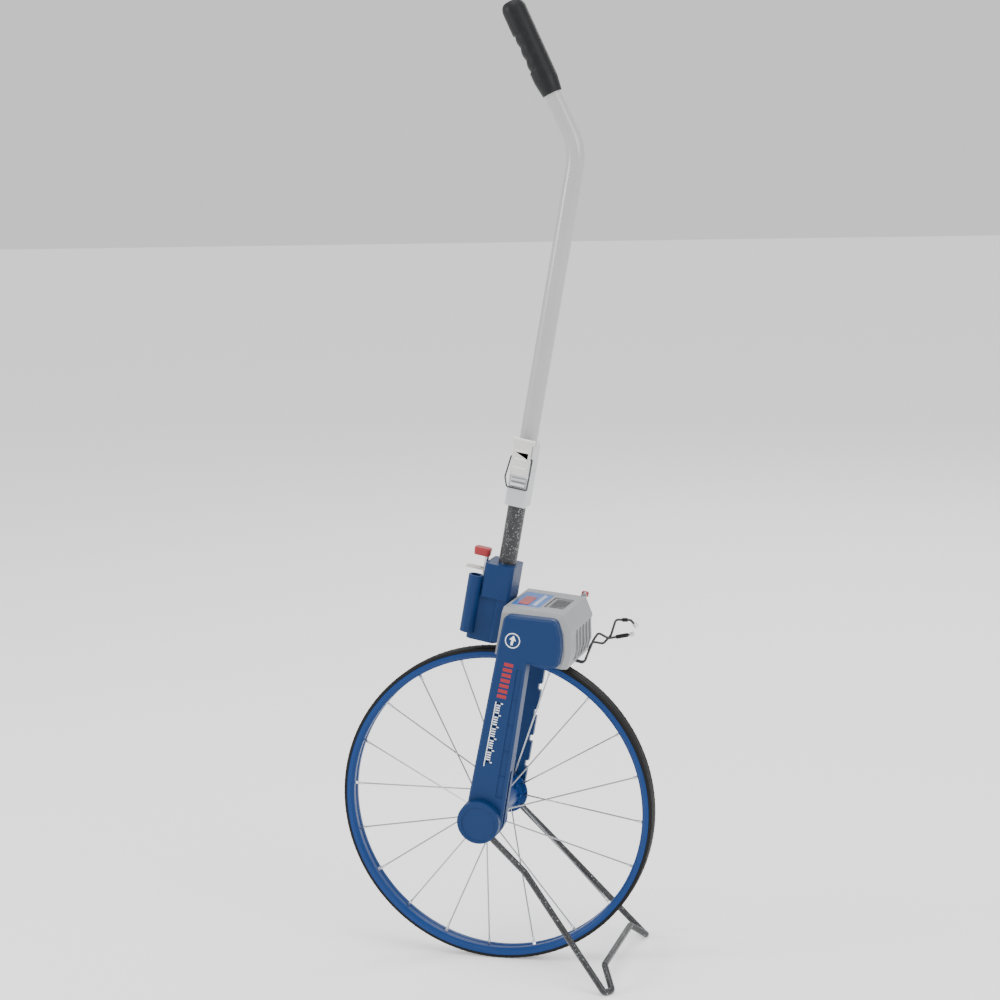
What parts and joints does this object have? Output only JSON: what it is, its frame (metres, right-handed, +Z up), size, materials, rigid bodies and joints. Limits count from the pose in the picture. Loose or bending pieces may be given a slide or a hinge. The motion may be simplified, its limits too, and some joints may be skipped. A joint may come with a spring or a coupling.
{
  "type": "measuring wheel",
  "caption": "Folding measuring wheel: a spoked wheel in a leaning fork, a belt-driven digit counter, a wire stand, a brake and a folding handle with a grip.",
  "frame": {"origin": "on the ground straight below the wheel's axle, halfway across the wheel", "axes": "+X the way the wheel travels, +Y along the axle, +Z up"},
  "size_m": [0.398, 0.2254, 1.1779],
  "materials": {
    "tyre_rubber": "matt black rubber with a fine tread",
    "rim_blue": "moulded blue plastic, satin gloss",
    "spoke_steel": "bright drawn steel wire",
    "nipple_brass": "plated nipple",
    "hub_black": "black moulded hub",
    "bearing_steel": "ground bearing steel",
    "steel_plain": "turned steel",
    "zinc_plate": "bright zinc plate",
    "shell_blue": "moulded blue plastic with a fine texture",
    "shell_grey": "moulded light grey plastic with a fine texture",
    "window_clear": "clear moulded window",
    "label_print": "printed plate",
    "drum_black": "black digit drums with white figures",
    "gear_white": "natural acetal gears and pulleys",
    "belt_rubber": "black toothed belt",
    "pad_black": "black moulded plastic",
    "shoe_rubber": "moulded brake rubber",
    "tube_black": "black hammertone enamel",
    "tube_grey": "light grey enamel",
    "joint_alloy": "cast and ground alloy",
    "grip_foam": "dark grey moulded grip",
    "knob_red": "red dipped plastic",
    "lever_pale": "pale moulded plastic"
  },
  "bodies": {
    "frame": {"axle": "steel_plain", "axle_nut": "zinc_plate", "axle_spacer": "zinc_plate", "left_leg": "shell_blue", "left_leg_cover": "shell_blue", "left_hub_cap": "shell_blue", "right_leg": "shell_blue", "right_hub_cap": "pad_black", "counter_housing": "shell_grey", "counter_base": "shell_grey", "counter_window": "window_clear", "label_plate": "label_print", "counter_frame": "zinc_plate", "base_screws": "zinc_plate", "drive_belt": "belt_rubber", "reset_pivot": "zinc_plate", "column_socket": "shell_blue", "lower_tube": "tube_black", "brake_spring": "spoke_steel", "catch_bracket": "zinc_plate", "joint_lower": "joint_alloy", "hinge_pin": "zinc_plate", "latch_catch": "zinc_plate", "wire_clip": "tube_black", "clip_sleeves": "pad_black", "clip_tips": "pad_black", "clip_bracket": "pad_black"},
    "wheel": {"tyre": "tyre_rubber", "rim": "rim_blue", "spokes": "spoke_steel", "spoke_nipples": "nipple_brass", "hub_shell": "hub_black", "wheel_bearings": "bearing_steel", "hub_pulley": "gear_white"},
    "transfer": {"transfer_shaft": "steel_plain", "transfer_pulley": "gear_white", "transfer_gear": "gear_white"},
    "drum_1": {"drum_shaft": "steel_plain", "drum_gear": "gear_white", "digit_drum_1": "drum_black"},
    "drum_2": {"digit_drum_2": "drum_black"},
    "drum_3": {"digit_drum_3": "drum_black"},
    "drum_4": {"digit_drum_4": "drum_black"},
    "drum_5": {"digit_drum_5": "drum_black"},
    "reset": {"reset_lever": "zinc_plate", "reset_knob": "knob_red"},
    "brake": {"brake_rod": "steel_plain", "brake_shoe": "shoe_rubber", "brake_knob": "knob_red"},
    "catch": {"brake_catch": "lever_pale"},
    "handle": {"joint_upper": "joint_alloy", "upper_tube": "tube_grey", "grip": "grip_foam", "latch_pin": "zinc_plate"},
    "latch": {"latch_lever": "joint_alloy"},
    "bail": {"latch_bail": "spoke_steel"},
    "stand": {"stand": "tube_black"}
  },
  "joints": [
    {"name": "wheel_spin", "type": "hinge", "parent": "frame", "child": "wheel", "pos_m": [0, 0, 0.199], "axis": [0, 1, 0], "continuous": true},
    {"name": "transfer_spin", "type": "hinge", "parent": "frame", "child": "transfer", "pos_m": [0.05582, 0, 0.42536], "axis": [0, 1, 0], "continuous": true},
    {"name": "drum_1_spin", "type": "hinge", "parent": "frame", "child": "drum_1", "pos_m": [0.08154, 0, 0.43357], "axis": [0, 1, 0], "continuous": true},
    {"name": "drum_2_spin", "type": "hinge", "parent": "frame", "child": "drum_2", "pos_m": [0.08154, 0, 0.43357], "axis": [0, 1, 0], "continuous": true},
    {"name": "drum_3_spin", "type": "hinge", "parent": "frame", "child": "drum_3", "pos_m": [0.08154, 0, 0.43357], "axis": [0, 1, 0], "continuous": true},
    {"name": "drum_4_spin", "type": "hinge", "parent": "frame", "child": "drum_4", "pos_m": [0.08154, 0, 0.43357], "axis": [0, 1, 0], "continuous": true},
    {"name": "drum_5_spin", "type": "hinge", "parent": "frame", "child": "drum_5", "pos_m": [0.08154, 0, 0.43357], "axis": [0, 1, 0], "continuous": true},
    {"name": "reset_turn", "type": "hinge", "parent": "frame", "child": "reset", "pos_m": [0.08154, 0.0643, 0.43357], "axis": [0, 1, 0], "range_deg": [0, 30], "stiffness_Nm_per_rad": 0.02, "springref_deg": -17.19},
    {"name": "brake_slide", "type": "slide", "parent": "frame", "child": "brake", "axis": [-0.1959, 0, -0.9806], "range_m": [0, 0.0117], "stiffness_N_per_m": 500, "springref_m": -0.004, "deforming": ["brake_spring"]},
    {"name": "catch_tilt", "type": "hinge", "parent": "frame", "child": "catch", "pos_m": [-0.00613, 0.002, 0.49392], "axis": [0, 1, 0], "range_deg": [0, 8], "stiffness_Nm_per_rad": 0.05},
    {"name": "handle_fold", "type": "hinge", "parent": "frame", "child": "handle", "pos_m": [0.04405, 0.0265, 0.6185], "axis": [-0.9806, 0, 0.1959], "range_deg": [0, 180]},
    {"name": "latch_swing", "type": "hinge", "parent": "handle", "child": "latch", "pos_m": [0.04317, -0.0184, 0.61409], "axis": [0.9806, 0, -0.1959], "range_deg": [0, 130]},
    {"name": "bail_swing", "type": "hinge", "parent": "latch", "child": "bail", "pos_m": [0.04738, -0.0184, 0.63517], "axis": [0.9806, 0, -0.1959], "range_deg": [-130, 0]},
    {"name": "stand_fold", "type": "hinge", "parent": "frame", "child": "stand", "pos_m": [0, 0, 0.199], "axis": [0, -1, 0], "range_deg": [0, 105]}
  ],
  "couplings": [
    {"joint": "transfer_spin", "follows": "wheel_spin", "ratio": 1},
    {"joint": "drum_1_spin", "follows": "wheel_spin", "ratio": -1.25},
    {"joint": "drum_2_spin", "follows": "wheel_spin", "ratio": -0.125},
    {"joint": "drum_3_spin", "follows": "wheel_spin", "ratio": -0.0125},
    {"joint": "drum_4_spin", "follows": "wheel_spin", "ratio": -0.00125},
    {"joint": "drum_5_spin", "follows": "wheel_spin", "ratio": -0.000125},
    {"joint": "bail_swing", "follows": "latch_swing", "ratio": -1}
  ]
}
